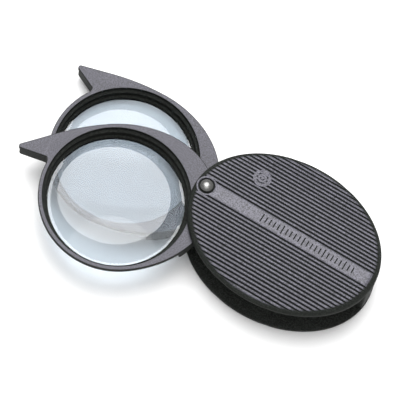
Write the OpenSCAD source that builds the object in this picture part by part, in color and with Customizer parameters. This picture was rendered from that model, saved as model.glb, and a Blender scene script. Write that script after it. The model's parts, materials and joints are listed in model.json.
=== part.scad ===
// Folding pocket magnifier: two lens frames that swing out of an oval case on one rivet.
// Origin at the centre of the case's base, +X from the rivet end to the far end, +Z up.

/* [Case] */
// Length of the oval case
case_length = 54.2; // [52:0.1:58]
// Width of the oval case
case_width = 42.2; // [42:0.1:44]
// Thickness of each cover at its rim
cover_thickness = 1.5; // [1.4:0.1:2.5]
// Height of the top cover's crown above its rim, arched across the case
crown_height = 1.5; // [0.8:0.1:2]
// Size of the bevel round each cover's outer edge
edge_bevel = 0.5; // [0.2:0.1:0.7]
// Distance from the rivet's axis to the case's near end
pivot_inset = 3.15; // [2.9:0.05:3.6]
// Room between a folded lens frame and the wall round the far end
wall_clearance = 0.35; // [0.3:0.05:0.6]
// X at which the wall begins on the closed side
wall_start_x = 12; // [11:0.5:16]
// Y at which the wall ends on the open side
wall_end_y = -3; // [-4:0.5:0]
// Diameter of the pegs that hold the covers together
peg_d = 1.6; // [1.2:0.1:2]

/* [Ribs] */
// Distance from one grip groove to the next
rib_pitch = 1.06; // [0.9:0.01:1.5]
// Width of a groove
groove_width = 0.42; // [0.3:0.01:0.6]
// Depth of a groove in the top cover
groove_depth = 0.46; // [0.1:0.02:0.6]
// Depth of a groove in the base
base_groove_depth = 0.28; // [0.1:0.02:0.5]
// Width of the plain border round the base's grooves
rib_border = 1; // [0.6:0.1:2]
// Width of the plain band along the case, from groove to groove
band_width = 4.6; // [2:0.1:6]
// Diameter of the plain round pad among the ribs
pad_d = 5; // [4:0.5:7]

/* [Lens frames] */
// Thickness of a lens frame at its hub and thumb hook
frame_thickness = 4.7; // [4.6:0.1:6]
// Thickness of the flange round the top of the lens barrel
flange_thickness = 1.4; // [1:0.1:2.5]
// Diameter of the flange
flange_d = 41.6; // [41:0.1:41.7]
// Outer diameter of the lens barrel below the flange
barrel_d = 39; // [38.8:0.1:40]
// Diameter of the mouth above the lens
mouth_d = 39.4; // [39:0.1:39.8]
// Distance from the rivet's axis to the lens's axis
lens_reach = 23.58; // [23.5:0.01:23.7]
// Distance from the rivet's axis to the tip of the upper frame's thumb hook
upper_hook_reach = 50.7; // [49:0.1:51]
// Distance from the rivet's axis to the tip of the lower frame's thumb hook
lower_hook_reach = 50; // [49:0.1:51]
// Distance the hub reaches past the rivet's axis
hub_end = 2.45; // [2.2:0.05:2.6]
// Length of the solid hub, measured from the rivet's axis
hub_length = 8.7; // [7:0.1:10]
// Play above and below each lens frame
frame_gap = 0.26; // [0.2:0.01:0.4]
// Angle of the upper frame from folded
upper_swing = 143.2; // [0:0.1:270]
// Angle of the lower frame from folded
lower_swing = 177.9; // [0:0.1:270]

/* [Lenses] */
// Diameter of a lens
lens_d = 37.4; // [37:0.1:37.5]
// Clear diameter inside the ledge that a lens rests on
clear_d = 36; // [35.6:0.1:36.8]
// Radius of the domed face of a lens
lens_radius = 75; // [70:1:150]
// Thickness of a lens at its rim
lens_rim = 0.9; // [0.7:0.1:1.1]

/* [Rivet] */
// Diameter of the rivet's shank
shank_d = 2.4; // [2:0.1:3]
// Diameter of the domed head
head_d = 3.4; // [3:0.1:4]
// Height of the head above the top cover's crown
head_proud = 0.75; // [0.5:0.05:1.2]
// Diameter of the recess round the head
recess_d = 4.4; // [4:0.1:5]
// Depth of the recess round the head
recess_depth = 0.6; // [0.3:0.05:0.8]
// Diameter of the friction washers
washer_d = 5.6; // [5:0.1:6]

/* [Hidden] */
$fn = 64;

// Small amounts: cutters run past a face by EPS, stacked pieces are FILM apart
EPS = 0.1;
FILM = 0.01;
OVERRUN = 1;
OVAL_STEPS = 120;
ROUND_STEPS = 128;
DOME_STEPS = 256;
ARCH_STEPS = 720;

semi_x = case_length / 2;
semi_y = case_width / 2;
pivot_x = pivot_inset - semi_x;

// Heights, from the base up
lower_z = cover_thickness + frame_gap;
upper_z = lower_z + frame_thickness + frame_gap;
lid_z = upper_z + frame_thickness + frame_gap;
rim_z = lid_z + cover_thickness;
crown_z = rim_z + crown_height;
crown_r = (pow(semi_y, 2) + pow(crown_height, 2)) / (2 * crown_height);

// Frame outline, in the frame's own axes: rivet at the origin, lens towards +X, hook towards -Y
flange_r = flange_d / 2;
hook_back_r = 62;
hook_back_to = 284;
hook_tip_r = 0.7;
hook_tip_y = -16.3;
hook_tip_from = -60;
hook_tip_to = 55;
hook_root = [40.9, -12.6];
hook_root_angle = -33;
hook_block_x = 33;
hook_block_y = -11.5;
bore_play = 0.05;
barrel_overlap = 0.3;

// Bore of a frame, from its underside: ledge, lens rim, retaining ring, throat, mouth
ledge_z = 0.3;
ring_z = ledge_z + lens_rim;
ring_height = 0.4;
ring_rim = 0.25;
ring_bevel = 0.3;
throat_r = 19;
throat_z = 3.2;
mouth_z = 3.6;
seat_r = lens_d / 2 + bore_play;

// Rivet's tail, in a counterbore in the base
counterbore_d = 4.8;
counterbore_depth = 0.9;
burr_thickness = 0.25;
tail_d = 3.8;
tail_inset = 0.1;
burr_margin = 0.2;
head_dome = 0.4;

rib_count = floor((semi_y - rib_border - band_width / 2) / rib_pitch) + 1;
pad_centre = [-12.6, 9.9];
plain_margin = 0.4;
boss_d = 9;
peg_height = 4;
peg_places = [[23.6, -0.6], [20.4, 10]];

function oval_point(a, b, t) = [a * cos(t), b * sin(t)];
function oval(a, b) = [for (i = [0 : OVAL_STEPS - 1]) oval_point(a, b, i * 360 / OVAL_STEPS)];
function arc(c, r, from, to, steps) =
    [for (i = [0 : steps]) c + oval_point(r, r, from + (to - from) * i / steps)];

// A plate with a straight edge and a bevelled top, from z = 0 to z = h
module bevelled_oval(h, bevel) {
    linear_extrude(height = h - bevel) polygon(oval(semi_x, semi_y));
    translate([0, 0, h - bevel])
        linear_extrude(height = bevel, scale = 1 - bevel / semi_x, slices = 1) polygon(oval(semi_x, semi_y));
}

// Long cylinder along X whose top line is the crown, or lies the given depth below it
module arch(depth) {
    translate([-semi_x - OVERRUN, 0, crown_z - crown_r]) rotate([0, 90, 0])
        cylinder(r = crown_r - depth, h = case_length + 2 * OVERRUN, $fn = ARCH_STEPS);
}

// Both rows of grip grooves, as bars that reach from z = low to z = high
module groove_bars(low, high) {
    for (side = [-1, 1], i = [0 : rib_count - 1])
        translate([-semi_x, side * (band_width / 2 + i * rib_pitch) - groove_width / 2, low])
            cube([case_length, groove_width, high - low]);
}

// Plain spots where the grooves are left out: round the rivet, and the pad
module plain_spots(low, high) {
    translate([pivot_x, 0, low]) cylinder(r = recess_d / 2 + plain_margin, h = high - low);
    translate([pad_centre[0], pad_centre[1], low]) cylinder(d = pad_d, h = high - low);
}

// Bore through both covers, in the rivet's axis
module rivet_bore(z, h) {
    translate([pivot_x, 0, z]) cylinder(d = shank_d + 2 * FILM, h = h);
}

// Crescent round the far end, outside the swept ring
module crescent(low, high) {
    difference() {
        translate([0, 0, low]) linear_extrude(height = high - low) polygon(oval(semi_x, semi_y));
        translate([pivot_x + lens_reach, 0, low - EPS])
            cylinder(r = flange_r + wall_clearance, h = high - low + 2 * EPS, $fn = ROUND_STEPS);
        translate([-semi_x - EPS, -semi_y - EPS, low - EPS])
            cube([semi_x + wall_start_x + EPS, case_width + 2 * EPS, high - low + 2 * EPS]);
        translate([0, -semi_y - EPS, low - EPS])
            cube([semi_x + EPS, semi_y + EPS + wall_end_y, high - low + 2 * EPS]);
    }
}

// Room under the arched top cover, left out over the rivet and over the end wall
module cover_hollow() {
    difference() {
        intersection() {
            arch(cover_thickness);
            translate([0, 0, lid_z - EPS]) linear_extrude(height = crown_height + 2 * EPS)
                polygon(oval(semi_x - cover_thickness, semi_y - cover_thickness));
        }
        translate([pivot_x, 0, lid_z - 2 * EPS]) cylinder(d = boss_d, h = crown_height + 4 * EPS);
        crescent(lid_z - 2 * EPS, crown_z);
    }
}

module top_cover() {
    color("dimgray") {
        difference() {
            intersection() {
                translate([0, 0, lid_z])
                    bevelled_oval(cover_thickness + crown_height, edge_bevel + crown_height);
                arch(0);
            }
            cover_hollow();
            difference() {
                groove_bars(rim_z - crown_height, crown_z + EPS);
                arch(groove_depth);
                plain_spots(rim_z - crown_height - EPS, crown_z + 2 * EPS);
            }
            translate([pivot_x, 0, crown_z - recess_depth]) cylinder(d = recess_d, h = recess_depth + EPS);
            rivet_bore(lid_z - EPS, cover_thickness + crown_height + 2 * EPS);
        }
        for (p = peg_places)
            translate([p[0], p[1], lid_z - peg_height]) cylinder(d = peg_d, h = peg_height + EPS);
    }
}

module bottom_cover() {
    color("dimgray") difference() {
        union() {
            translate([0, 0, cover_thickness]) mirror([0, 0, 1]) bevelled_oval(cover_thickness, edge_bevel);
            crescent(cover_thickness - EPS, lid_z);
        }
        intersection() {
            groove_bars(-EPS, base_groove_depth);
            translate([0, 0, -2 * EPS]) linear_extrude(height = OVERRUN)
                polygon(oval(semi_x - rib_border, semi_y - rib_border));
        }
        for (p = peg_places)
            translate([p[0], p[1], lid_z - peg_height - EPS])
                cylinder(d = peg_d + 2 * FILM, h = peg_height + 2 * EPS);
        rivet_bore(-EPS, cover_thickness + 2 * EPS);
        translate([pivot_x, 0, -EPS]) cylinder(d = counterbore_d, h = counterbore_depth + EPS);
    }
}

// Domed head, shank through the whole case, and the upset tail
module pivot_rivet() {
    head_z = crown_z - recess_depth + FILM;
    rim_h = recess_depth + head_proud - head_dome - FILM;
    dome_r = (pow(head_d / 2, 2) + pow(head_dome, 2)) / (2 * head_dome);
    tail_h = counterbore_depth - burr_thickness - tail_inset - FILM;
    color("silver") translate([pivot_x, 0, 0]) {
        translate([0, 0, tail_inset]) cylinder(d = tail_d, h = tail_h);
        translate([0, 0, tail_inset]) cylinder(d = shank_d, h = head_z);
        translate([0, 0, head_z]) cylinder(d = head_d, h = rim_h);
        intersection() {
            translate([0, 0, head_z + rim_h + head_dome - dome_r]) sphere(r = dome_r, $fn = ROUND_STEPS);
            translate([0, 0, head_z + rim_h - EPS]) cylinder(d = head_d, h = OVERRUN);
        }
    }
}

// Flat ring on the rivet's axis
module flat_ring(outer_d, z, h) {
    translate([pivot_x, 0, z]) difference() {
        cylinder(d = outer_d, h = h);
        translate([0, 0, -EPS]) cylinder(d = shank_d + 2 * bore_play, h = h + 2 * EPS);
    }
}

module rivet_burr() {
    color("silver")
        flat_ring(tail_d + 2 * burr_margin, counterbore_depth - burr_thickness, burr_thickness - FILM);
}

module friction_washer(z) {
    color("gainsboro") flat_ring(washer_d, z + FILM, frame_gap - 2 * FILM);
}

module bottom_washer() { friction_washer(cover_thickness); }
module middle_washer() { friction_washer(lower_z + frame_thickness); }
module top_washer() { friction_washer(upper_z + frame_thickness); }

// Outline of a lens frame: oval hub, thumb hook and round flange
function hub_side(from, to, steps) = [for (i = [0 : steps])
    [lens_reach, 0] + oval_point(lens_reach + hub_end, flange_r, from + (to - from) * i / steps)];
function tip_centre(reach) = [sqrt(pow(reach, 2) - pow(hook_tip_y, 2)) - hook_tip_r, hook_tip_y];
function frame_outline(reach) = concat(
    hub_side(90, 270, 60),
    arc([lens_reach, hook_back_r - flange_r], hook_back_r, 270, hook_back_to, 12),
    arc(tip_centre(reach), hook_tip_r, hook_tip_from, hook_tip_to, 6),
    [hook_root],
    arc([lens_reach, 0], flange_r, hook_root_angle, 90, 40));

module outline_prism(reach, h) {
    linear_extrude(height = h) polygon(frame_outline(reach));
}

// Turned shape about the lens's axis
module lens_axis_cylinder(r1, r2, z, h) {
    translate([lens_reach, 0, z]) cylinder(r1 = r1, r2 = r2, h = h, $fn = ROUND_STEPS);
}

// Hub and thumb hook, as thick as the whole frame
module full_height_ends(reach) {
    hook_block_r = barrel_d / 2 - barrel_overlap;
    intersection() {
        outline_prism(reach, frame_thickness - EPS);
        translate([hub_length - case_length, -case_width / 2, -EPS])
            cube([case_length, case_width, frame_thickness]);
    }
    difference() {
        intersection() {
            outline_prism(reach, frame_thickness - EPS);
            translate([hook_block_x, hook_block_y - case_width, -EPS])
                cube([case_length, case_width, frame_thickness]);
        }
        lens_axis_cylinder(hook_block_r, hook_block_r, -EPS, frame_thickness);
    }
}

// One lens frame in its own axes, with its underside at z = 0
module lens_frame(reach) {
    mouth_r = mouth_d / 2;
    difference() {
        union() {
            translate([0, 0, frame_thickness - flange_thickness]) outline_prism(reach, flange_thickness);
            lens_axis_cylinder(barrel_d / 2, barrel_d / 2, 0, frame_thickness - EPS);
            full_height_ends(reach);
        }
        translate([0, 0, -EPS]) cylinder(d = shank_d + 2 * bore_play, h = frame_thickness + 2 * EPS);
        lens_axis_cylinder(clear_d / 2, clear_d / 2, -EPS, frame_thickness);
        lens_axis_cylinder(seat_r, seat_r, ledge_z, frame_thickness);
        lens_axis_cylinder(throat_r, throat_r, ring_z + ring_height, frame_thickness);
        lens_axis_cylinder(throat_r, mouth_r, throat_z, mouth_z - throat_z);
        lens_axis_cylinder(mouth_r, mouth_r, mouth_z - FILM / 2, frame_thickness);
    }
}

// One lens in its own frame's axes: flat side down on the ledge, domed side up
module lens() {
    rim_h = lens_rim - 2 * FILM;
    dome_edge_r = clear_d / 2 - bore_play;
    drop = sqrt(pow(lens_radius, 2) - pow(dome_edge_r, 2));
    translate([lens_reach, 0, ledge_z + FILM]) {
        cylinder(d = lens_d, h = rim_h, $fn = ROUND_STEPS);
        intersection() {
            translate([0, 0, rim_h - drop]) sphere(r = lens_radius, $fn = DOME_STEPS);
            cylinder(r = dome_edge_r, h = frame_thickness, $fn = ROUND_STEPS);
        }
    }
}

// The bevelled ring that holds the lens down on its ledge
module retaining_ring() {
    ring_foot_r = seat_r - ring_rim - ring_bevel;
    translate([lens_reach, 0, ring_z]) difference() {
        cylinder(r = seat_r - FILM, h = ring_height, $fn = ROUND_STEPS);
        translate([0, 0, -FILM])
            cylinder(r1 = ring_foot_r, r2 = seat_r - ring_rim, h = ring_height + 2 * FILM, $fn = ROUND_STEPS);
    }
}

// Puts a piece of a lens frame at its swing and height
module swing_out(angle, z) {
    translate([pivot_x, 0, z]) rotate(-angle) children();
}

module upper_frame() { color("dimgray") swing_out(upper_swing, upper_z) lens_frame(upper_hook_reach); }
module upper_lens() { color("lightcyan") swing_out(upper_swing, upper_z) lens(); }
module upper_retaining_ring() { color("darkslategray") swing_out(upper_swing, upper_z) retaining_ring(); }
module lower_frame() { color("dimgray") swing_out(lower_swing, lower_z) lens_frame(lower_hook_reach); }
module lower_lens() { color("lightcyan") swing_out(lower_swing, lower_z) lens(); }
module lower_retaining_ring() { color("darkslategray") swing_out(lower_swing, lower_z) retaining_ring(); }

top_cover();
bottom_cover();
pivot_rivet();
rivet_burr();
top_washer();
middle_washer();
bottom_washer();
upper_frame();
upper_lens();
upper_retaining_ring();
lower_frame();
lower_lens();
lower_retaining_ring();
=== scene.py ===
"""Folding pocket magnifier: visual pieces and studio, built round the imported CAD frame.

Lengths are in metres in the CAD's own frame. A point of a plan view is a Vector of x and y.
"""
import json
import math

import bmesh
import bpy
from mathutils import Matrix, Vector
from mathutils.geometry import tessellate_polygon


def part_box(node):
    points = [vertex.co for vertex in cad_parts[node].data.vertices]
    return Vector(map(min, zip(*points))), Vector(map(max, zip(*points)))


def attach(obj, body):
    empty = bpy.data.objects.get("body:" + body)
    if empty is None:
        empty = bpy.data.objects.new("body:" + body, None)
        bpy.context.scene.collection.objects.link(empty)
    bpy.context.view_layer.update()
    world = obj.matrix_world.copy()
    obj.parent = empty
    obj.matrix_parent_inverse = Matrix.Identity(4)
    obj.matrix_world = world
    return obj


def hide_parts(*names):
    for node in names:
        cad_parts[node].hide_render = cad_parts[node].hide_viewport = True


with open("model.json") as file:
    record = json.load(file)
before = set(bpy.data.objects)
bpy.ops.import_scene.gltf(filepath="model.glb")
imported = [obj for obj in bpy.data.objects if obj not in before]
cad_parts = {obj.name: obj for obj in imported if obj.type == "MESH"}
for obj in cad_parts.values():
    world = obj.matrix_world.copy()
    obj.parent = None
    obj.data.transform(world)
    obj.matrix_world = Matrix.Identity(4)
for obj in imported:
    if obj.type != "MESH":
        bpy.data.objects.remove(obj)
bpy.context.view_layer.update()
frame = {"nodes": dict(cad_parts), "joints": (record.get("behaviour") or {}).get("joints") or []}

MM = 0.001
FILM = 0.01 * MM
SLIVER = 0.02 * MM
OVERRUN = 1 * MM
SHARP_ANGLE = math.radians(32)

# Points round each kind of circle, and up a rounded edge
PEG_STEPS = 32
SHANK_STEPS = 48
BOSS_STEPS = 64
PAD_STEPS = 72
LENS_STEPS = 160
BORE_STEPS = 180
ARCH_STEPS = 1440
EDGE_STEPS = 6

# ---------------------------------------------------------------- sizes from the frame

LID_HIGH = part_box("top_cover")[1]
SEMI_X, SEMI_Y = LID_HIGH.x, LID_HIGH.y
CROWN_Z = LID_HIGH.z
LID_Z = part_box("top_washer")[1].z + FILM
FLOOR_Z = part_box("bottom_washer")[0].z - FILM
BURR_LOW, BURR_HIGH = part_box("rivet_burr")
RIVET_LOW, RIVET_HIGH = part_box("pivot_rivet")
PIVOT = Vector(frame["joints"][0]["pos_m"][:2])

# ---------------------------------------------------------------- sizes of the case

WALL_THICK = 1.5 * MM
ARCH_RISE = CROWN_Z - LID_Z - WALL_THICK
ARCH_R = (SEMI_Y**2 + ARCH_RISE**2) / (2 * ARCH_RISE)
LID_EDGE = 0.2 * MM
BASE_EDGE = 0.15 * MM
RIB_PITCH = 1.06 * MM
GROOVE_DEPTH = 0.46 * MM
BASE_GROOVE_DEPTH = 0.28 * MM
BASE_BORDER = (0.9 * MM, 1.3 * MM)
GROOVE_FLOOR = 0.10 * MM
GROOVE_SHOULDER = 0.33 * MM
BAND_HALF = 2.3 * MM
RIB_COUNT = 17
RIM_WIDTH = 2.0 * MM
RIM_WIDTH_GAIN = 0.4 * MM
RIM_FALL = 1.0 * MM
RIM_FALL_GAIN = 0.8 * MM
PAD_CENTRE = Vector((-12.6, 9.9)) * MM
PAD_R = 2.5 * MM
PAD_RINGS = [(1.65 * MM, 1.2 * MM, 0.2 * MM), (0.7 * MM, 0.35 * MM, 0.2 * MM)]
PLUG_DEPTH = 0.9 * MM
RECESS_R = 2.2 * MM
RECESS_DEPTH = 0.6 * MM
RECESS_MARGIN = 0.55 * MM
COUNTERBORE_R = 2.4 * MM
BOSS_R = 4.5 * MM
SWEEP_R = 21.15 * MM
WALL_START_X = 12 * MM
WALL_END_Y = -3 * MM
PEG_R = 0.8 * MM
PEG_DROP = 4 * MM
PEG_PLACES = [Vector((23.6, -0.6)) * MM, Vector((20.4, 10)) * MM]

# ---------------------------------------------------------------- sizes of a lens frame

THICK = 4.7 * MM
FLANGE_THICK = 1.4 * MM
FLANGE_R = 20.8 * MM
BARREL_R = 19.5 * MM
MOUTH_R = 19.7 * MM
MOUTH_Z = 3.6 * MM
THROAT_R = 19.0 * MM
THROAT_Z = 3.2 * MM
SEAT_R = 18.75 * MM
CLEAR_R = 18.0 * MM
LENS_R = 18.7 * MM
LENS_CURVE = 75 * MM
LENS_RIM = 0.9 * MM
LEDGE_Z = 0.3 * MM
RING_Z = LEDGE_Z + LENS_RIM
RING_HEIGHT = 0.4 * MM
REACH = 23.58 * MM
HUB_END = 2.45 * MM
HUB_LENGTH = 8.7 * MM
HOOK_BACK_R = 62 * MM
HOOK_BACK_TO = 284
HOOK_TIP_ANGLES = (-60, 55)
HOOK_ROOT_ANGLE = -33
HOOK_TIP_Y = -16.3 * MM
HOOK_REACH = {"upper": 50.7 * MM, "lower": 50 * MM}
HOOK_TIP_R = 0.7 * MM
HOOK_ROOT = Vector((40.9, -12.6)) * MM
HOOK_START_X = 33 * MM
HOOK_END_Y = -11.5 * MM
SHANK_R = 1.25 * MM
ROUND_TOP = 0.18 * MM
ROUND_SMALL = 0.16 * MM
ROUND_FOOT = 0.3 * MM
BODY_INSET = 0.12 * MM
LIP = 0.1 * MM
SOFT_TURNS = (0.5, 1.0, math.pi / 2)


# ---------------------------------------------------------------- plan views

def arc(centre, radii, start, end, steps):
    """Points of an ellipse's arc, from one angle to another in degrees."""
    angles = [math.radians(start + (end - start) * k / steps) for k in range(steps + 1)]
    return [centre + Vector((radii[0] * math.cos(t), radii[1] * math.sin(t))) for t in angles]


def circle(centre, radius, steps):
    return arc(centre, (radius, radius), 0, 360, steps)[:-1]


def oval(shrink, steps):
    return arc(Vector((0, 0)), (SEMI_X - shrink, SEMI_Y - shrink), 0, 360, steps)[:-1]


def inset(plan, distance):
    """The closed counter-clockwise outline moved inwards by a distance."""
    moved = []
    for k, here in enumerate(plan):
        into = (here - plan[k - 1]).normalized()
        out = (plan[(k + 1) % len(plan)] - here).normalized()
        left_in, left_out = Vector((-into.y, into.x)), Vector((-out.y, out.x))
        miter = (left_in + left_out) / (1 + left_in.dot(left_out))
        moved.append(here + miter * distance)
    return moved


def soften(plan, spacing, passes):
    """The closed outline with even spacing and its corners worn round."""
    lengths = [(plan[(k + 1) % len(plan)] - p).length for k, p in enumerate(plan)]
    count = round(sum(lengths) / spacing)
    step = sum(lengths) / count
    even, k, start = [], 0, 0.0
    for n in range(count):
        while start + lengths[k] < n * step:
            start += lengths[k]
            k += 1
        share = (n * step - start) / lengths[k]
        even.append(plan[k].lerp(plan[(k + 1) % len(plan)], share))
    for _ in range(passes):
        even = [(even[k - 1] + 2 * p + even[(k + 1) % count]) / 4 for k, p in enumerate(even)]
    return even


def rounded_edge(low, high, round_low, round_high):
    """Pairs of inset and height up the edge of a plate whose two corners are rounded."""
    turns = [math.pi / 2 * k / EDGE_STEPS for k in range(EDGE_STEPS + 1)]
    lower = [(round_low * (1 - math.sin(t)), low + round_low * (1 - math.cos(t))) for t in turns]
    upper = [(round_high * (1 - math.cos(t)), high - round_high * (1 - math.sin(t))) for t in turns]
    return lower + upper


def smoothstep(low, high, value):
    t = min(1.0, max(0.0, (value - low) / (high - low)))
    return t * t * (3 - 2 * t)


# ---------------------------------------------------------------- meshes

class Skin:
    """Points and faces of one surface, gathered loop by loop."""

    def __init__(self):
        self.points = []
        self.faces = []
        self.flat = []
        self.looks = []

    def loop(self, plan, height):
        """Adds a loop of points. Height is a number, or a function of x and y."""
        first = len(self.points)
        for x, y in plan:
            self.points.append((x, y, height(x, y) if callable(height) else height))
        return list(range(first, len(self.points)))

    def face(self, corners, look, flat=False):
        self.faces.append(tuple(corners))
        self.flat.append(flat)
        self.looks.append(look)

    def wall(self, first, second, look=0):
        """A band between two loops of equal length, facing outwards when the second is above."""
        for k in range(len(first)):
            n = (k + 1) % len(first)
            self.face((first[k], first[n], second[n], second[k]), look)

    def walls(self, loops, look=0):
        for first, second in zip(loops, loops[1:]):
            self.wall(first, second, look)

    def cap(self, outer, holes, up, look=0):
        """A flat face inside a loop, with holes left in it."""
        rings = [outer, *holes]
        numbers = [n for ring in rings for n in ring]
        corners = [[Vector((*self.points[n][:2], 0)) for n in ring] for ring in rings]
        for triangle in tessellate_polygon(corners):
            a, b, c = (numbers[k] for k in triangle)
            pa, pb, pc = (Vector(self.points[n][:2]) for n in (a, b, c))
            turns_left = (pb - pa).cross(pc - pa) > 0
            self.face((a, b, c) if turns_left == up else (a, c, b), look, True)

    def make(self, name, materials=()):
        mesh = bpy.data.meshes.new(name)
        mesh.from_pydata(self.points, [], self.faces)
        for polygon, flat, look in zip(mesh.polygons, self.flat, self.looks):
            polygon.use_smooth = not flat
            polygon.material_index = look
        mesh.set_sharp_from_angle(angle=SHARP_ANGLE)
        for material in materials:
            mesh.materials.append(material)
        shell = bmesh.new()
        shell.from_mesh(mesh)
        if all(edge.is_manifold for edge in shell.edges):
            bmesh.ops.recalc_face_normals(shell, faces=shell.faces)
            shell.to_mesh(mesh)
        shell.free()
        piece = bpy.data.objects.new(name, mesh)
        bpy.context.scene.collection.objects.link(piece)
        return piece


def turned(name, centre, profile, steps, materials=(), height=lambda x, y: 0):
    """A solid turned about an upright axis. The profile is radius and height pairs from its lowest
    point on the axis to its highest one; height lifts each point by a function of its place."""
    skin = Skin()
    low, *middle, high = profile
    loops = [skin.loop(circle(centre, r, steps), lambda x, y, z=z: z + height(x, y)) for r, z in middle]
    skin.walls(loops)
    for ring, (_, z), up in ((loops[0], low, False), (loops[-1], high, True)):
        tip = len(skin.points)
        skin.points.append((*centre, z + height(*centre)))
        for k, here in enumerate(ring):
            after = ring[(k + 1) % steps]
            skin.face((here, after, tip) if up else (after, here, tip), 0)
    return skin.make(name, materials)


def prism(plan, low, high):
    """A straight-sided solid on a plan."""
    skin = Skin()
    bottom, top = skin.loop(plan, low), skin.loop(plan, high)
    skin.wall(bottom, top)
    skin.cap(bottom, [], False)
    skin.cap(top, [], True)
    return skin.make("cutter")


def combine(piece, operation, *others):
    """Cuts the others out of the piece, joins them to it, or keeps what they share with it."""
    for other in others:
        step = piece.modifiers.new("step", "BOOLEAN")
        step.operation = operation
        step.solver = "MANIFOLD"
        step.object = other
        depsgraph = bpy.context.evaluated_depsgraph_get()
        mesh = bpy.data.meshes.new_from_object(piece.evaluated_get(depsgraph))
        piece.modifiers.remove(step)
        old, piece.data = piece.data, mesh
        bpy.data.meshes.remove(old)
        bpy.data.meshes.remove(other.data)
    piece.data.shade_smooth()
    piece.data.set_sharp_from_angle(angle=SHARP_ANGLE)
    return piece


# ---------------------------------------------------------------- materials

class Look:
    """A material made of nodes, with short calls for the nodes that it uses."""

    def __init__(self, name, **sockets):
        self.material = bpy.data.materials.new(name)
        self.material.use_nodes = True
        self.tree = self.material.node_tree
        self.shader = self.tree.nodes["Principled BSDF"]
        self.place = self.add("ShaderNodeTexCoord").outputs["Object"]
        for socket, value in sockets.items():
            self.shader.inputs[socket.replace("_", " ")].default_value = value

    def add(self, kind, inputs=(), **settings):
        node = self.tree.nodes.new(kind)
        for setting, value in settings.items():
            setattr(node, setting, value)
        for socket, value in dict(inputs).items():
            self.feed(node.inputs[socket], value)
        return node

    def feed(self, socket, value):
        if isinstance(value, bpy.types.NodeSocket):
            self.tree.links.new(value, socket)
        else:
            socket.default_value = value

    def noise(self, size, detail=2.0, stretch=(1, 1, 1)):
        """Noise from 0 to 1 whose features are about the given size."""
        place = self.add("ShaderNodeMapping", {"Vector": self.place, "Scale": stretch}).outputs[0]
        inputs = {"Vector": place, "Scale": 1 / size, "Detail": detail}
        return self.add("ShaderNodeTexNoise", inputs).outputs["Fac"]

    def ramp(self, value, low, high, out_low=0.0, out_high=1.0):
        """Smoothly maps low..high to out_low..out_high."""
        node = self.add("ShaderNodeMapRange", {0: value, 1: low, 2: high, 3: out_low, 4: out_high},
                        interpolation_type="SMOOTHSTEP")
        return node.outputs[0]

    def maths(self, operation, first, second):
        return self.add("ShaderNodeMath", {0: first, 1: second}, operation=operation).outputs[0]

    def mix(self, share, first, second):
        """Blends two colours, the second one by the given share."""
        node = self.add("ShaderNodeMix", data_type="RGBA")
        self.feed(node.inputs[0], share)
        self.feed(node.inputs[6], first)
        self.feed(node.inputs[7], second)
        return node.outputs[2]

    def bump(self, height, distance, strength):
        inputs = {"Height": height, "Distance": distance, "Strength": strength}
        self.feed(self.shader.inputs["Normal"], self.add("ShaderNodeBump", inputs).outputs[0])

    def finish(self, colour, roughness):
        self.feed(self.shader.inputs["Base Color"], colour)
        self.feed(self.shader.inputs["Roughness"], roughness)
        return self.material


def grey(level, tint):
    return (level * tint[0], level * tint[1], level * tint[2], 1)


VIOLET = (1.0, 0.97, 1.24)
MOSS = (0.95, 1.08, 0.95)
GRAIN_DETAIL = 3.0
PLASTIC_BUMP = 0.012 * MM
PLASTIC_STRENGTH = 0.7
POLISHED, DULL = 0.42, 0.72
POLISHED_GLOSS, DULL_GLOSS = 0.4, 0.12


def moulded(name, level, tint, rough, speckle, grain_size, gloss):
    """Moulded plastic: fine grain, faint mottling and light scuffs."""
    look = Look(name, Specular_IOR_Level=gloss)
    grain = look.noise(grain_size, GRAIN_DETAIL)
    mottle = look.noise(4 * MM, GRAIN_DETAIL)
    scuff = look.ramp(look.noise(0.9 * MM, 4.0, (1, 0.12, 1)), 0.60, 0.78)
    dark, light = grey(level * (1 - speckle), tint), grey(level * (1 + speckle), tint)
    colour = look.mix(look.ramp(grain, 0.35, 0.68), dark, light)
    colour = look.mix(look.ramp(mottle, 0.3, 0.7, 0.0, 0.25), colour, grey(level * 0.75, tint))
    colour = look.mix(look.maths("MULTIPLY", scuff, 0.25), colour, grey(level * 1.7, tint))
    roughness = look.maths("ADD", look.ramp(grain, 0.3, 0.7, rough - 0.05, rough + 0.07),
                           look.maths("MULTIPLY", scuff, -0.06))
    look.bump(grain, PLASTIC_BUMP, PLASTIC_STRENGTH)
    return look.finish(colour, roughness)


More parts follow.
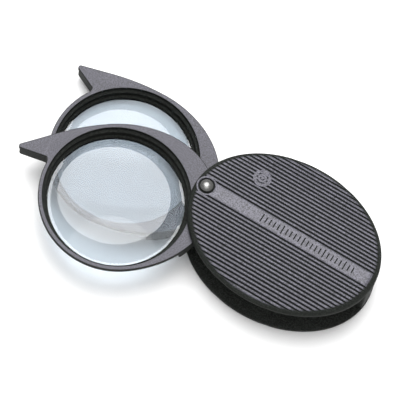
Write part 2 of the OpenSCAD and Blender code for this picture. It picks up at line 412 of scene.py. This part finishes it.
def ribbed_plastic_painted_sheen_and_shade(name):
    """The covers' plastic: polished on the rib tops and dull down in the grooves, with a painted sheen
    making the rib tops light violet and painted shade making the grooves near black.
    """
    look = Look(name)
    parts = look.add("ShaderNodeSeparateXYZ", {0: look.place})
    square = look.maths("MULTIPLY", parts.outputs[1], parts.outputs[1])
    sag = look.maths("MULTIPLY", square, 1 / (2 * ARCH_R))
    depth = look.maths("SUBTRACT", look.maths("SUBTRACT", CROWN_Z, sag), parts.outputs[2])
    # Mask of the rib tops by depth below the arch: painted sheen on the tops, painted shade down in the
    # grooves.
    top = look.ramp(depth, 0.05 * MM, 0.28 * MM, 1.0, 0.0)
    grain = look.noise(0.28 * MM, GRAIN_DETAIL)
    mottle = look.noise(5 * MM, GRAIN_DETAIL)
    # The light violet rib-top colour is a painted sheen; the grain and mottling in it are the plastic's own.
    light = look.mix(look.ramp(grain, 0.38, 0.64), grey(0.03, VIOLET), grey(0.14, VIOLET))
    light = look.mix(look.ramp(mottle, 0.3, 0.7, 0.0, 0.3), light, grey(0.06, VIOLET))
    # The near-black groove colour is painted shade.
    dark = look.mix(look.ramp(grain, 0.45, 0.70), grey(0.012, MOSS), grey(0.03, MOSS))
    roughness = look.ramp(top, 0.0, 1.0, DULL, POLISHED)
    gloss = look.ramp(top, 0.0, 1.0, DULL_GLOSS, POLISHED_GLOSS)
    look.feed(look.shader.inputs["Specular IOR Level"], gloss)
    look.bump(grain, PLASTIC_BUMP, PLASTIC_STRENGTH)
    return look.finish(look.mix(top, dark, light), roughness)


def glass(name):
    """Lens glass: faint blue and darkened to about half as painted shade of the floor seen through it, with
    a little dust and fine scratches, and see-through to lamps.
    """
    look = Look(name, Transmission_Weight=1.0, IOR=1.5)
    dust = look.ramp(look.noise(1.2 * MM, 5.0), 0.62, 0.80)
    scratch = look.ramp(look.noise(0.5 * MM, 2.0, (1, 0.04, 1)), 0.70, 0.78)
    # The blue-grey colour is partly the glass's own faint blue and partly painted shade: it halves the
    # brightness of the floor seen through the lens.
    colour = look.mix(look.maths("MULTIPLY", dust, 0.15), (0.49, 0.53, 0.565, 1), (0.46, 0.50, 0.525, 1))
    haze = look.ramp(dust, 0, 1, 0.012, 0.018)
    roughness = look.maths("ADD", look.maths("MULTIPLY", scratch, 0.010), haze)
    material = look.finish(colour, roughness)
    lamp = look.add("ShaderNodeLightPath").outputs["Is Shadow Ray"]
    clear = look.add("ShaderNodeBsdfTransparent", {"Color": (0.50, 0.54, 0.57, 1)}).outputs[0]
    both = look.add("ShaderNodeMixShader", {0: lamp, 1: look.shader.outputs[0], 2: clear}).outputs[0]
    look.feed(look.tree.nodes["Material Output"].inputs["Surface"], both)
    return material


def metal(name):
    """Nickel-plated steel with fine grain and a few paler spots."""
    look = Look(name, Metallic=1.0)
    grain = look.noise(0.12 * MM, GRAIN_DETAIL)
    spots = look.ramp(look.noise(0.5 * MM, 4.0), 0.55, 0.72)
    colour = look.mix(look.ramp(grain, 0.3, 0.7), (0.15, 0.15, 0.147, 1), (0.23, 0.23, 0.225, 1))
    colour = look.mix(look.maths("MULTIPLY", spots, 0.5), colour, (0.22, 0.21, 0.20, 1))
    look.bump(grain, 0.01 * MM, 0.6)
    return look.finish(colour, look.ramp(grain, 0.3, 0.7, 0.22, 0.38))


def nylon(name):
    """Pale nylon sheet for the washers."""
    look = Look(name, Subsurface_Weight=0.1)
    grain = look.noise(0.2 * MM, GRAIN_DETAIL)
    ageing = look.noise(1.5 * MM, GRAIN_DETAIL)
    colour = look.mix(look.ramp(ageing, 0.3, 0.7), (0.62, 0.60, 0.53, 1), (0.76, 0.75, 0.70, 1))
    look.bump(grain, 0.008 * MM, 0.5)
    return look.finish(colour, look.ramp(grain, 0.3, 0.7, 0.38, 0.52))


# Lit and shaded copies of one black plastic: the lighter violet satin copy is a painted sheen for flat
# faces, the near-black matt copy is painted shade for side faces, hollows and the base.
SATIN_PAINTED_LIT = moulded("satin_plastic_painted_lit", level=0.066, tint=VIOLET, rough=0.46, speckle=0.6, grain_size=0.30 * MM,
                gloss=0.35)
MATT_PAINTED_SHADE = moulded("matt_plastic_painted_shade", level=0.016, tint=MOSS, rough=DULL, speckle=0.9, grain_size=0.32 * MM,
               gloss=0.2)
RIBBED_PAINTED_SHEEN_AND_SHADE = ribbed_plastic_painted_sheen_and_shade("ribbed_plastic_painted_sheen_and_shade")
GLASS = glass("lens_glass")
METAL = metal("nickel")
NYLON = nylon("nylon")


# ---------------------------------------------------------------- case

def crown(x, y):
    """Height of the top cover's arch."""
    return CROWN_Z - ARCH_R + math.sqrt(ARCH_R**2 - y * y)


def rim_distance(x, y):
    """Distance from the oval's outline, close enough near it."""
    ratio = math.hypot(x / SEMI_X, y / SEMI_Y)
    if ratio < 0.5:
        return SEMI_Y / 2
    slope = math.hypot(x / SEMI_X**2, y / SEMI_Y**2) / ratio
    return max(0.0, (1 - ratio) / slope)


def rim_drop(x, y, width, fall):
    """How far the rounded rim lies below the plain surface."""
    distance = rim_distance(x, y)
    if distance >= width:
        return 0.0
    return fall * (1 - math.sqrt(max(0.0, 1 - (1 - distance / width) ** 2)))


def groove(y):
    """Depth of the grip grooves at y."""
    beyond = abs(y) - BAND_HALF
    nearest = min(max(round(beyond / RIB_PITCH), 0), RIB_COUNT - 1)
    offset = abs(beyond - nearest * RIB_PITCH)
    return GROOVE_DEPTH * (1 - smoothstep(GROOVE_FLOOR, GROOVE_SHOULDER, offset))


def rib_rows():
    """Y of every row of points across the case: close together over the grooves' walls and the rim."""
    marks = (0.0, 0.10, 0.14, 0.18, 0.22, 0.27, 0.40)
    rim_gaps = (0.45, 0.36, 0.28, 0.21, 0.15, 0.10, 0.06, 0.03, 0.01, 0.002)
    rows = [0.0, 0.8 * MM, 1.5 * MM]
    for n in range(RIB_COUNT):
        centre = BAND_HALF + n * RIB_PITCH
        rows += [centre + side * mark * MM for mark in marks for side in (-1, 1)]
        rows.append(centre + RIB_PITCH / 2)
    rows = [y for y in rows if y < SEMI_Y - 0.5 * MM]
    rows += [SEMI_Y - gap * MM for gap in rim_gaps]
    rows = sorted(set(round(y, 9) for y in rows))
    return [-y for y in reversed(rows) if y > 0] + rows


def ribbed_plate(name, surface, flat_z, edge, up, materials):
    """An oval plate whose ribbed side follows surface(x, y), with a flat side at flat_z."""
    half, edge_steps = 30, 4
    shares = [math.sin(math.pi / 2 * k / half) for k in range(-half, half + 1)]
    skin = Skin()
    rows = []
    for y in rib_rows():
        reach = SEMI_X * math.sqrt(max(0.0, 1 - (y / SEMI_Y) ** 2))
        rows.append(skin.loop([Vector((reach * share, y)) for share in shares], surface))
    for low, high in zip(rows, rows[1:]):
        for k in range(2 * half):
            corners = (low[k], low[k + 1], high[k + 1], high[k])
            skin.face(corners if up else corners[::-1], 0)
    rim = rows[0] + [row[-1] for row in rows[1:-1]] + rows[-1][::-1] + [row[0] for row in rows[-2:0:-1]]
    plan = [Vector(skin.points[n][:2]) for n in rim]
    turn = 1 if up else -1
    loops = [rim]
    for k in range(edge_steps + 1):
        angle = math.pi / 2 * k / edge_steps
        shrink = edge * (1 - math.cos(angle))
        scaled = [Vector((p.x * (1 - shrink / SEMI_X), p.y * (1 - shrink / SEMI_Y))) for p in plan]
        loops.append(skin.loop(scaled, flat_z + turn * edge * (1 - math.sin(angle))))
    for first, second in zip(loops, loops[1:]):
        skin.wall(*((second, first) if up else (first, second)))
    skin.cap(loops[-1], [], not up)
    return skin.make(name, materials)


def wall_plan(gap):
    """Plan of the wall round the far end, kept a gap inside the covers' outline."""
    a, b = SEMI_X - gap, SEMI_Y - gap
    outer_from = -math.degrees(math.asin(-WALL_END_Y / b))
    outer_to = math.degrees(math.acos(WALL_START_X / a))
    sweep = PIVOT + Vector((REACH, 0))
    inner_from = math.degrees(math.acos((WALL_START_X - sweep.x) / SWEEP_R))
    inner_to = -math.degrees(math.asin(-WALL_END_Y / SWEEP_R))
    outer = arc(Vector((0, 0)), (a, b), outer_from, outer_to, 40)
    inner = arc(sweep, (SWEEP_R, SWEEP_R), inner_from, inner_to, 40)
    return soften(outer + inner, spacing=0.2 * MM, passes=3)


def pad(name, centre, radius, rings, depth):
    """A round plug whose top follows the arch, with its own rounded edge and engraved rings."""
    rim, slope = 0.12 * MM, 0.06 * MM
    profile = [(0, -depth), (radius, -depth), (radius, -rim)]
    profile += [(radius - rim * (1 - math.cos(t)), -rim + rim * math.sin(t)) for t in SOFT_TURNS]
    for outer, inner, fall in rings:
        profile += [(outer, 0), (outer - slope, -fall), (inner + slope, -fall), (inner, 0)]
    profile.append((0, 0))
    return turned(name, centre, profile, PAD_STEPS, height=crown)


def tick_marks():
    """Plain scale marks along the band, a longer one every fifth."""
    skin = Skin()
    start, pitch, count, width, depth = -7 * MM, 1.25 * MM, 23, 0.34 * MM, 0.28 * MM
    long_half, short_half, long_every = 1.15 * MM, 0.75 * MM, 5
    for n in range(count):
        centre = Vector((start + n * pitch, 0))
        half = long_half if n % long_every == 0 else short_half
        ends = arc(centre + Vector((0, half)), (width / 2, width / 2), 0, 180, 6)
        ends += arc(centre - Vector((0, half)), (width / 2, width / 2), 180, 360, 6)
        low = skin.loop(ends, CROWN_Z - depth)
        high = skin.loop(ends, CROWN_Z + OVERRUN)
        skin.wall(low, high)
        skin.cap(low, [], False)
        skin.cap(high, [], True)
    return skin.make("cutter")


def lid_surface(x, y):
    """Outside of the top cover: the arch, its grooves and the rounded rim, broader at both ends."""
    width = RIM_WIDTH + RIM_WIDTH_GAIN * (x / SEMI_X) ** 2
    fall = RIM_FALL + RIM_FALL_GAIN * (x / SEMI_X) ** 2
    return crown(x, y) - max(groove(y), rim_drop(x, y, width, fall))


def lid_hollow():
    """Room under the arched top cover, left out over the rivet and over the end wall."""
    hollow = prism(oval(WALL_THICK, LENS_STEPS), LID_Z - OVERRUN, CROWN_Z)
    inner_r = ARCH_R - WALL_THICK
    profile = [(0, -SEMI_X), (inner_r, -SEMI_X), (inner_r, SEMI_X), (0, SEMI_X)]
    arch = turned("cutter", Vector((0, 0)), profile, ARCH_STEPS)
    lay_down = Matrix.Rotation(math.pi / 2, 4, "Y")
    arch.data.transform(Matrix.Translation((0, 0, CROWN_Z - ARCH_R)) @ lay_down)
    combine(hollow, "INTERSECT", arch)
    boss = prism(circle(PIVOT, BOSS_R, BOSS_STEPS), 0, CROWN_Z + OVERRUN)
    return combine(hollow, "DIFFERENCE", boss, prism(wall_plan(0), 0, CROWN_Z + OVERRUN))


def rivet_recess():
    """Cutter for the recess round the rivet's head, with soft edges."""
    floor, soft, above = CROWN_Z - RECESS_DEPTH, 0.18 * MM, CROWN_Z + OVERRUN
    profile = [(0, floor), (RECESS_R - soft, floor)]
    for t in SOFT_TURNS:
        profile.append((RECESS_R - soft + soft * math.sin(t), floor + soft * (1 - math.cos(t))))
    profile += [(RECESS_R, CROWN_Z - soft), (RECESS_R + soft, CROWN_Z + FILM)]
    profile += [(RECESS_R + soft, above), (0, above)]
    return turned("cutter", PIVOT, profile, PAD_STEPS)


def make_top_cover():
    cover = ribbed_plate("top_cover_shell", lid_surface, LID_Z, LID_EDGE, True, [RIBBED_PAINTED_SHEEN_AND_SHADE])
    combine(cover, "UNION", pad("plug", PAD_CENTRE, PAD_R, PAD_RINGS, PLUG_DEPTH),
            pad("plug", PIVOT, RECESS_R + RECESS_MARGIN, [], PLUG_DEPTH))
    shaft = prism(circle(PIVOT, SHANK_R, SHANK_STEPS), 0, CROWN_Z + OVERRUN)
    combine(cover, "DIFFERENCE", lid_hollow(), rivet_recess(), tick_marks(), shaft)
    tip, bevel, root = LID_Z - PEG_DROP, 0.2 * MM, LID_Z + 0.3 * MM
    for place in PEG_PLACES:
        profile = [(0, tip), (PEG_R - bevel, tip), (PEG_R, tip + bevel), (PEG_R, root), (0, root)]
        combine(cover, "UNION", turned("peg", place, profile, PEG_STEPS))
    return cover


def base_surface(x, y):
    """Underside of the base: its grooves end in a plain border."""
    inside = smoothstep(*BASE_BORDER, rim_distance(x, y))
    grooves = BASE_GROOVE_DEPTH / GROOVE_DEPTH * groove(y) * inside
    return max(grooves, rim_drop(x, y, 0.8 * MM, 0.6 * MM))


def make_bottom_cover():
    # The whole base takes the dark matt copy, painted shade, so its floor seen under the lid through the
    # open side stays dark.
    cover = ribbed_plate("bottom_cover_shell", base_surface, FLOOR_Z, BASE_EDGE, False, [MATT_PAINTED_SHADE])
    wall_low, peg_low = FLOOR_Z - 0.5 * MM, LID_Z - PEG_DROP - 0.1 * MM
    combine(cover, "UNION", prism(wall_plan(0.06 * MM), wall_low, LID_Z - SLIVER))
    sockets = [circle(place, PEG_R + FILM, PEG_STEPS) for place in PEG_PLACES]
    cutters = [prism(socket, peg_low, LID_Z + OVERRUN) for socket in sockets]
    cutters.append(prism(circle(PIVOT, SHANK_R, SHANK_STEPS), -OVERRUN, FLOOR_Z + OVERRUN))
    cutters.append(prism(circle(PIVOT, COUNTERBORE_R, BOSS_STEPS), -OVERRUN, BURR_HIGH.z + FILM))
    return combine(cover, "DIFFERENCE", *cutters)


def make_rivet():
    """Domed head in its recess, shank through the case and a flattened tail."""
    head_r, shank, tail_r = 1.7 * MM, 1.2 * MM, 1.9 * MM
    dome, dome_steps = 0.62 * MM, 12
    foot, top = RIVET_LOW.z, RIVET_HIGH.z
    tail_top = BURR_LOW.z - FILM
    head_z = CROWN_Z - RECESS_DEPTH + FILM
    profile = [(0, foot), (tail_r - 0.25 * MM, foot), (tail_r - 0.07 * MM, foot + 0.07 * MM)]
    profile += [(tail_r, foot + 0.22 * MM), (tail_r, tail_top), (shank, tail_top + SLIVER)]
    profile += [(shank, head_z - SLIVER), (head_r, head_z)]
    curve = (head_r**2 + dome**2) / (2 * dome)
    for k in range(dome_steps):
        t = math.asin(head_r / curve) * (1 - k / dome_steps)
        profile.append((curve * math.sin(t), top - curve * (1 - math.cos(t))))
    profile.append((0, top))
    return turned("domed_rivet", PIVOT, profile, BOSS_STEPS, [METAL])


# ---------------------------------------------------------------- lens frames

def frame_outline(reach):
    """Plan of a lens frame with its rivet at the origin: hub, thumb hook and flange."""
    axis = Vector((REACH, 0))
    tip_centre = Vector((math.sqrt(reach**2 - HOOK_TIP_Y**2) - HOOK_TIP_R, HOOK_TIP_Y))
    hub = arc(axis, (REACH + HUB_END, FLANGE_R), 90, 270, 90)
    back = arc(axis + Vector((0, HOOK_BACK_R - FLANGE_R)), (HOOK_BACK_R, HOOK_BACK_R), 270, HOOK_BACK_TO, 16)
    tip = arc(tip_centre, (HOOK_TIP_R, HOOK_TIP_R), *HOOK_TIP_ANGLES, 8)
    ring = arc(axis, (FLANGE_R, FLANGE_R), HOOK_ROOT_ANGLE, 90, 60)
    return hub[:-1] + back + tip + [HOOK_ROOT] + ring[:-1]


def body_outline(reach):
    """Plan of what lies below the flange: hub block, barrel and hook block."""
    axis = Vector((REACH, 0))
    shape = inset(frame_outline(reach), BODY_INSET)
    hub = [p for p in shape if p.x < HUB_LENGTH]
    hook = [p for p in shape if p.x > HOOK_START_X and p.y < HOOK_END_Y]
    step = math.degrees(math.acos((REACH - HUB_LENGTH) / BARREL_R))
    hook_from = math.degrees(math.acos((HOOK_START_X - REACH) / BARREL_R))
    hook_to = math.degrees(math.asin(-HOOK_END_Y / BARREL_R))
    radii = (BARREL_R, BARREL_R)
    low = arc(axis, radii, 180 + step, 360 - hook_from, 40)
    high = arc(axis, radii, -hook_to, 180 - step, 90)
    upper_hub, lower_hub = Vector((HUB_LENGTH, hub[0].y)), Vector((HUB_LENGTH, hub[-1].y))
    hook_in = Vector((HOOK_START_X, hook[0].y))
    hook_out = Vector((hook[-1].x, HOOK_END_Y))
    return [upper_hub] + hub + [lower_hub] + low + [hook_in] + hook + [hook_out] + high


def make_frame(name, reach):
    """A lens frame in its own axes, underside at zero."""
    axis, rivet = Vector((REACH, 0)), Vector((0, 0))
    flange_z = THICK - FLANGE_THICK
    skin = Skin()
    outer = soften(frame_outline(reach), spacing=0.2 * MM, passes=2)
    body = soften(body_outline(reach), spacing=0.25 * MM, passes=5)
    flange = rounded_edge(flange_z, THICK, ROUND_SMALL, ROUND_TOP)
    below = rounded_edge(0, flange_z, ROUND_FOOT, 0)[:-EDGE_STEPS]
    edge = [skin.loop(inset(outer, gap), z) for gap, z in flange]
    foot = [skin.loop(inset(body, gap), z) for gap, z in below]
    # Look 1, the dark matt copy, is painted shade on the side faces, the flange's underside and the bore;
    # look 0, the lighter satin copy, is a painted sheen on the flat top and underside faces.
    skin.walls(edge, 1)
    skin.walls(foot, 1)
    skin.cap(edge[0], [foot[-1]], False, 1)
    turns = [math.pi / 2 * k / 3 for k in range(4)]
    bore = [(MOUTH_R + LIP * (1 - math.sin(t)), THICK - LIP * (1 - math.cos(t))) for t in turns]
    bore += [(MOUTH_R, MOUTH_Z), (THROAT_R, THROAT_Z), (THROAT_R, RING_Z + RING_HEIGHT)]
    bore += [(SEAT_R, RING_Z + RING_HEIGHT), (SEAT_R, LEDGE_Z), (CLEAR_R, LEDGE_Z)]
    bore += [(CLEAR_R + LIP * (1 - math.cos(t)), LIP * (1 - math.sin(t))) for t in turns]
    rings = [skin.loop(circle(axis, r, BORE_STEPS), z) for r, z in bore]
    skin.walls(rings, 1)
    hole = [skin.loop(circle(rivet, SHANK_R, SHANK_STEPS), z) for z in (THICK, 0)]
    skin.walls(hole, 1)
    skin.cap(edge[-1], [rings[0], hole[0]], True, 0)
    skin.cap(foot[0], [rings[-1], hole[1]], False, 0)
    return skin.make(name, [SATIN_PAINTED_LIT, MATT_PAINTED_SHADE])


def make_lens(name):
    """A lens in its frame's axes: a flat side down on the ledge, a domed side up, a ground rim."""
    low, high, steps, soft = LEDGE_Z + FILM, RING_Z - FILM, 24, 0.06 * MM
    dome_edge = CLEAR_R - 0.05 * MM
    drop = math.sqrt(LENS_CURVE**2 - dome_edge**2)
    profile = [(0, low), (LENS_R - soft, low), (LENS_R, low + soft)]
    profile += [(LENS_R, high - soft), (LENS_R - soft, high)]
    for k in range(steps, -1, -1):
        radius = dome_edge * k / steps
        profile.append((radius, high + math.sqrt(LENS_CURVE**2 - radius**2) - drop))
    return turned(name, Vector((REACH, 0)), profile, LENS_STEPS, [GLASS])


def make_ring(name):
    """The bevelled ring that holds a lens down, in its frame's axes."""
    skin = Skin()
    low, high = RING_Z + FILM, RING_Z + RING_HEIGHT
    outer, soft = SEAT_R - 0.02 * MM, 0.06 * MM
    rim, throat = SEAT_R - 0.25 * MM, SEAT_R - 0.56 * MM
    profile = [(outer, low), (outer, high - soft), (outer - soft, high), (rim, high)]
    profile += [(rim - soft, high - soft), (throat + FILM, low + soft), (throat, low)]
    rings = [skin.loop(circle(Vector((REACH, 0)), r, LENS_STEPS), z) for r, z in profile]
    skin.walls(rings + [rings[0]], 0)
    # The ring takes the dark matt copy: painted shade down in the bore.
    return skin.make(name, [MATT_PAINTED_SHADE])


def place_arm(node, pieces):
    """Puts pieces made in a frame's own axes where the CAD has that frame."""
    low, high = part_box(node.replace("frame", "lens"))
    centre = ((low + high) / 2).xy
    angle = math.atan2(centre.y - PIVOT.y, centre.x - PIVOT.x)
    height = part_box(node)[0].z
    for piece in pieces:
        piece.data.transform(Matrix.Translation((*PIVOT, height)) @ Matrix.Rotation(angle, 4, "Z"))


# ---------------------------------------------------------------- studio

CAMERA_ANGLES = (17.923, 67.390, 13.587)
CAMERA_PLACE = Vector((78.68, -320.0, 810.88)) * MM
CAMERA_LENS = 295.5


def make_camera():
    """Camera over the front of the case, turned a little about its own axis."""
    azimuth, elevation, roll = (math.radians(a) for a in CAMERA_ANGLES)
    back = Vector((math.sin(azimuth) * math.cos(elevation), -math.cos(azimuth) * math.cos(elevation),
                   math.sin(elevation)))
    level = Vector((math.cos(azimuth), math.sin(azimuth), 0))
    rise = back.cross(level)
    right = level * math.cos(roll) + rise * math.sin(roll)
    up = rise * math.cos(roll) - level * math.sin(roll)
    camera = bpy.data.objects.new("camera", bpy.data.cameras.new("camera"))
    turn = Matrix((right, up, back)).transposed().to_4x4()
    camera.matrix_world = Matrix.Translation(CAMERA_PLACE) @ turn
    camera.data.lens = CAMERA_LENS
    bpy.context.scene.collection.objects.link(camera)
    bpy.context.scene.camera = camera


def softbox(name, direction, distance, diameter, power):
    lamp = bpy.data.lights.new(name, "AREA")
    lamp.shape = "DISK"
    lamp.size = diameter
    lamp.energy = power
    light = bpy.data.objects.new(name, lamp)
    light.location = Vector(direction).normalized() * distance
    light.rotation_euler = Vector(direction).to_track_quat("Z", "Y").to_euler()
    light.visible_camera = False
    bpy.context.scene.collection.objects.link(light)


def make_studio():
    skin = Skin()
    floor_radius = 6
    skin.cap(skin.loop(circle(Vector((0, 0)), floor_radius, 96), 0), [], True)
    paper = Look("paper")
    fibre = paper.noise(0.4 * MM, GRAIN_DETAIL)
    shade = paper.mix(paper.ramp(fibre, 0.3, 0.7), (0.912, 0.912, 0.912, 1), (0.922, 0.922, 0.922, 1))
    floor = skin.make("floor", [paper.finish(shade, 0.9)])
    world = bpy.data.worlds.new("studio")
    world.use_nodes = True
    background = world.node_tree.nodes["Background"]
    background.inputs["Color"].default_value = (1, 1, 1, 1)
    background.inputs["Strength"].default_value = 0.6
    bpy.context.scene.world = world
    bpy.context.scene.view_settings.view_transform = "Standard"
    softbox("overhead", (0.05, -0.1, 1.0), distance=1.2, diameter=0.9, power=4)
    softbox("sheen", (-0.20, 0.36, 0.91), distance=1.2, diameter=1.0, power=17)


# ---------------------------------------------------------------- the model

def put(piece, body, slot, *nodes):
    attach(piece, body)
    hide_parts(*nodes)


put(make_top_cover(), "case", "case", "top_cover")
put(make_bottom_cover(), "case", "case", "bottom_cover")
put(make_rivet(), "case", "rivet", "pivot_rivet")
for side in ("upper", "lower"):
    arm = [make_frame(side + "_frame_moulding", HOOK_REACH[side]), make_lens(side + "_glass"),
           make_ring(side + "_ring")]
    place_arm(side + "_frame", arm)
    for piece, slot, node in zip(arm, ("frame", "lens", "retainer"), ("_frame", "_lens", "_retaining_ring")):
        put(piece, side + "_lens_arm", slot, side + node)
for node, material in (("rivet_burr", METAL), ("top_washer", NYLON), ("middle_washer", NYLON),
                       ("bottom_washer", NYLON)):
    frame["nodes"][node].data.materials.clear()
    frame["nodes"][node].data.materials.append(material)

make_studio()
make_camera()
